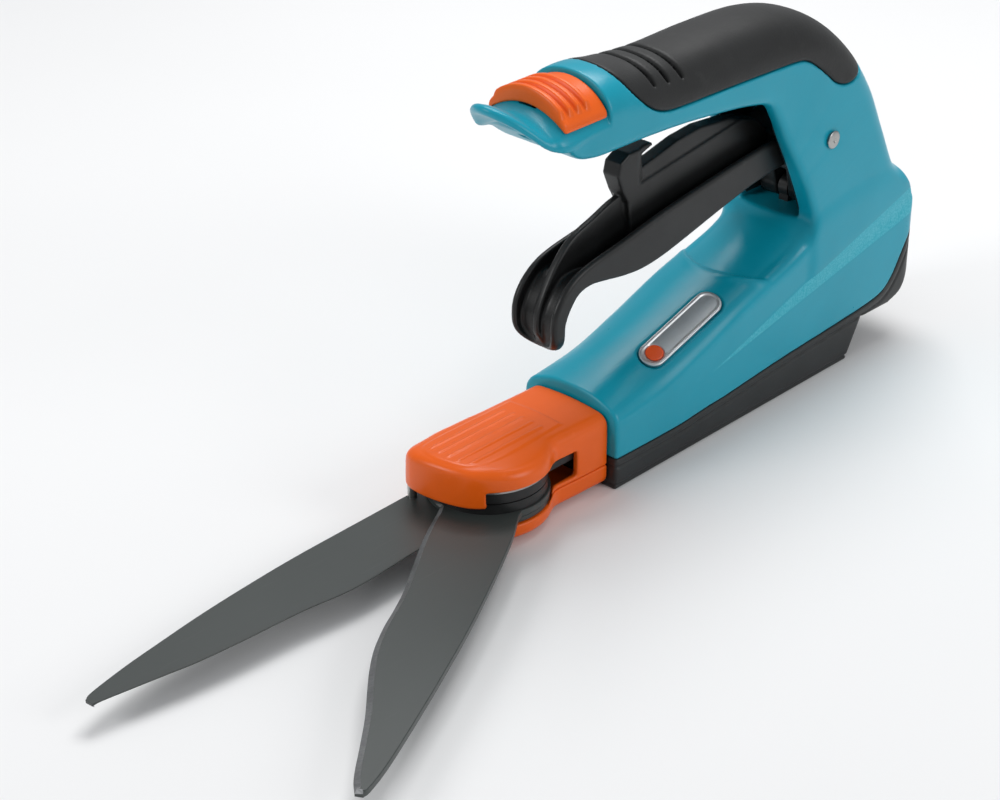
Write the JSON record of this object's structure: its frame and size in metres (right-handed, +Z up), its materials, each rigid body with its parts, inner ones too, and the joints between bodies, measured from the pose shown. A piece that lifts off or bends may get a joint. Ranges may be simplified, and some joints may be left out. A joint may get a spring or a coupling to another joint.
{
  "type": "grass shears",
  "caption": "Hand-squeezed grass shears: loop handle on a flat foot, hooked trigger, plunger drive and a swivelling orange head with scissor blades",
  "frame": {"origin": "middle of the flat foot of the base, on the ground plane", "axes": "+X towards the blade tips, +Y the tool's left, +Z up"},
  "size_m": [0.3599, 0.1037, 0.1397],
  "materials": {
    "teal_plastic": "satin moulded, fine grain",
    "dark_base": "matte moulded",
    "soft_grip": "soft-touch overmould",
    "badge_silver": "satin plate",
    "badge_orange": "gloss insert",
    "steel": "turned, zinc plated",
    "white_plastic": "natural acetal",
    "spring_steel": "bright wire and stamped strip",
    "screw_steel": "zinc plated",
    "trigger_black": "satin glass-filled",
    "orange_plastic": "satin moulded",
    "blade_steel": "dark grey non-stick coating, ground edges"
  },
  "bodies": {
    "housing": {"upper_housing": "teal_plastic", "base_cover": "dark_base", "grip_overmould": "soft_grip", "badge_plate": "badge_silver", "badge_inlay": "badge_orange", "trigger_pin": "steel", "pin_spacers": "white_plastic", "return_spring": "spring_steel", "neck_bush": "trigger_black", "plunger_guide": "dark_base", "base_screws": "screw_steel", "post_liner": "trigger_black"},
    "trigger": {"trigger_lever": "trigger_black", "arm_pin": "steel"},
    "rod": {"connecting_rod": "trigger_black"},
    "drive": {"plunger": "steel", "clevis_pin": "steel"},
    "head": {"head_upper_cover": "orange_plastic", "head_lower_cover": "orange_plastic", "swivel_spigot": "trigger_black", "retaining_ring": "spring_steel", "fixed_blade": "blade_steel", "pivot_bolt": "steel", "pivot_nut": "steel", "spring_washer": "steel", "guide_plate": "trigger_black", "stop_post": "steel", "head_screws": "screw_steel"},
    "yoke": {"crosshead": "trigger_black"},
    "blade": {"moving_blade": "blade_steel", "hub_disc": "trigger_black", "crank_pin": "steel"},
    "lock": {"lock_slider": "orange_plastic", "latch_bar": "trigger_black"}
  },
  "joints": [
    {"name": "trigger_pivot", "type": "hinge", "parent": "housing", "child": "trigger", "pos_m": [-0.0463, 0, 0.0883], "axis": [0, -1, 0], "range_deg": [0, 16], "stiffness_Nm_per_rad": 1.2, "springref_deg": -14.32, "deforming": ["return_spring"]},
    {"name": "rod_pivot", "type": "hinge", "parent": "trigger", "child": "rod", "pos_m": [-0.04951, 0, 0.06548], "axis": [0, -1, 0], "range_deg": [-16.5, 0.5]},
    {"name": "plunger_slide", "type": "slide", "parent": "housing", "child": "drive", "axis": [1, 0, 0], "range_m": [0, 0.00643]},
    {"name": "head_swivel", "type": "hinge", "parent": "housing", "child": "head", "pos_m": [0.062, 0, 0.0143], "axis": [1, 0, 0], "range_deg": [-90, 90]},
    {"name": "yoke_slide", "type": "slide", "parent": "head", "child": "yoke", "axis": [1, 0, 0], "range_m": [0, 0.00643]},
    {"name": "blade_pivot", "type": "hinge", "parent": "head", "child": "blade", "pos_m": [0.1005, 0, 0.01], "axis": [0, 0, 1], "range_deg": [-31.1, 0]},
    {"name": "lock_slide", "type": "slide", "parent": "housing", "child": "lock", "axis": [1, 0, 0], "range_m": [0, 0.005]}
  ],
  "couplings": [
    {"joint": "rod_pivot", "follows": "trigger_pivot", "ratio": -1},
    {"joint": "plunger_slide", "follows": "trigger_pivot", "m_per_rad": 0.022967},
    {"joint": "yoke_slide", "follows": "trigger_pivot", "m_per_rad": 0.022967},
    {"joint": "blade_pivot", "follows": "trigger_pivot", "ratio": -1.9375}
  ]
}
